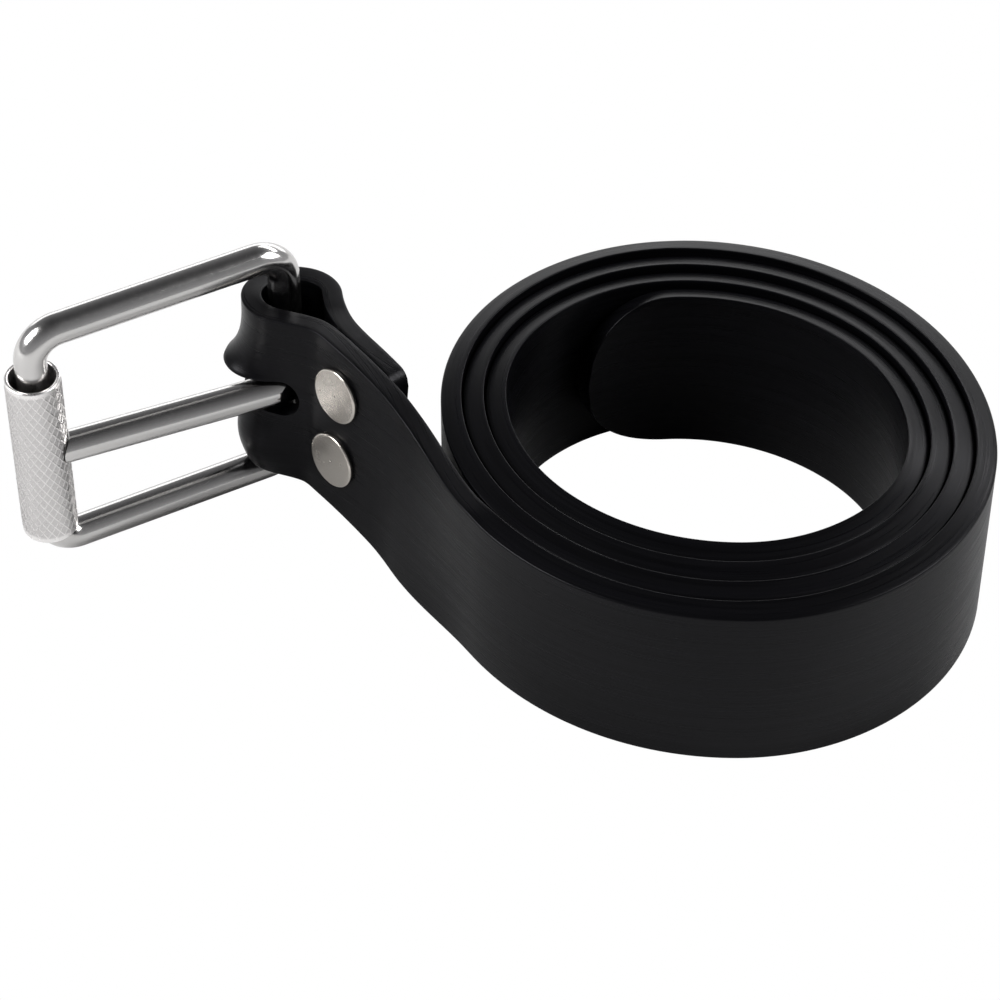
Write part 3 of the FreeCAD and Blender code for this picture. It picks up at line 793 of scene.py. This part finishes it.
RIVETS_ALONG = 14.9
spot = land_start + unit(land_heading) * RIVETS_ALONG
facing = land_heading + 90.0
STACK = 2 * THICK + TAIL_GAP
STRAP_MIDDLE = float(climb_at(spot[None])[0]) + WIDTH / 2.0
for level in ("upper", "lower"):
    for kind in ("cap", "post"):
        node = "rivet_%s_%s" % (kind, level)
        obj = rivet_head("head_%s_%s" % (kind, level))
        low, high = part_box(node)
        height = (low[2] + high[2]) / 2.0 / MM
        turn = facing if kind == "cap" else facing + 180.0
        out = HALF if kind == "cap" else HALF - STACK
        tilt = math.radians(LEAN) * (1.0 if kind == "cap" else -1.0)
        out = out - math.sin(math.radians(LEAN)) * (height - STRAP_MIDDLE)
        base = spot + unit(facing) * out
        place = (Matrix.Translation(Vector((base[0] * MM, base[1] * MM, height * MM)))
                 @ Matrix.Rotation(math.radians(turn), 4, "Z")
                 @ Matrix.Rotation(math.radians(90.0) - tilt, 4, "Y"))
        obj.data.transform(place)
        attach(obj, "belt")
        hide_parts(node)

# ------------------------------------------------------------ floor, light, camera
floor_material, floor_tree, floor_shader = node_material("pale_floor")
floor_shader.inputs["Base Color"].default_value = (0.70, 0.70, 0.70, 1)
floor_shader.inputs["Roughness"].default_value = 0.9
floor_shader.inputs["Specular IOR Level"].default_value = 0.0
# seen directly the floor is plain white; to the object it is a pale grey surface
white = add(floor_tree, "ShaderNodeEmission", Strength=1.0)
seen = add(floor_tree, "ShaderNodeLightPath")
choose = add(floor_tree, "ShaderNodeMixShader")
floor_tree.links.new(seen.outputs["Is Camera Ray"], choose.inputs[0])
floor_tree.links.new(floor_shader.outputs[0], choose.inputs[1])
floor_tree.links.new(white.outputs[0], choose.inputs[2])
floor_tree.links.new(choose.outputs[0], floor_tree.nodes["Material Output"].inputs["Surface"])
FLOOR = 4000
floor = new_object("floor", [(x, y, 0) for x, y in ((-FLOOR, -FLOOR), (FLOOR, -FLOOR),
                                                   (FLOOR, FLOOR), (-FLOOR, FLOOR))],
                   [(0, 1, 2, 3)], floor_material, False)

world = bpy.data.worlds.new("studio")
bpy.context.scene.world = world
world.use_nodes = True
tree = world.node_tree
background = tree.nodes["Background"]
# brighter at the horizon than overhead
coord = add(tree, "ShaderNodeTexCoord")
split = add(tree, "ShaderNodeSeparateXYZ")
tree.links.new(coord.outputs["Generated"], split.inputs[0])
ramp = add(tree, "ShaderNodeValToRGB")
ramp.color_ramp.elements[0].position = 0.0
ramp.color_ramp.elements[0].color = (0.40, 0.40, 0.41, 1)
ramp.color_ramp.elements[1].position = 1.0
ramp.color_ramp.elements[1].color = (0.05, 0.05, 0.052, 1)
tree.links.new(split.outputs["Z"], ramp.inputs["Fac"])
tree.links.new(ramp.outputs["Color"], background.inputs["Color"])
background.inputs["Strength"].default_value = 1.0


def softbox(name, location, target, width, height, power):
    # metres and watts
    data = bpy.data.lights.new(name, "AREA")
    data.shape = "RECTANGLE"
    data.size, data.size_y = width, height
    data.energy = power
    obj = bpy.data.objects.new(name, data)
    bpy.context.scene.collection.objects.link(obj)
    obj.location = location
    aim = Vector(target) - Vector(location)
    obj.rotation_euler = aim.to_track_quat("-Z", "Y").to_euler()


softbox("back", (0.85, 1.30, 1.12), (0.1, 0, 0.05), 1.6, 0.22, 11.0)
softbox("backdrop", (0.0, 1.60, 0.35), (0, 0, 0.1), 3.0, 0.6, 10.0)
softbox("left", (-1.25, -0.25, 0.95), (0, 0, 0), 0.8, 0.8, 28.0)
softbox("right", (1.30, -0.10, 0.95), (0.05, 0, 0), 0.8, 0.8, 18.0)

SENSOR, LENS, CAMERA_TILT = 36.0, 126.0, 44.466
camera_data = bpy.data.cameras.new("camera")
camera_data.sensor_width = SENSOR
camera_data.lens = LENS
camera = bpy.data.objects.new("camera", camera_data)
bpy.context.scene.collection.objects.link(camera)
camera.location = (-0.000146, -0.648538, 0.65792)
camera.rotation_euler = (math.radians(90.0 - CAMERA_TILT), 0, 0)
bpy.context.scene.camera = camera
bpy.context.scene.view_settings.view_transform = "Standard"
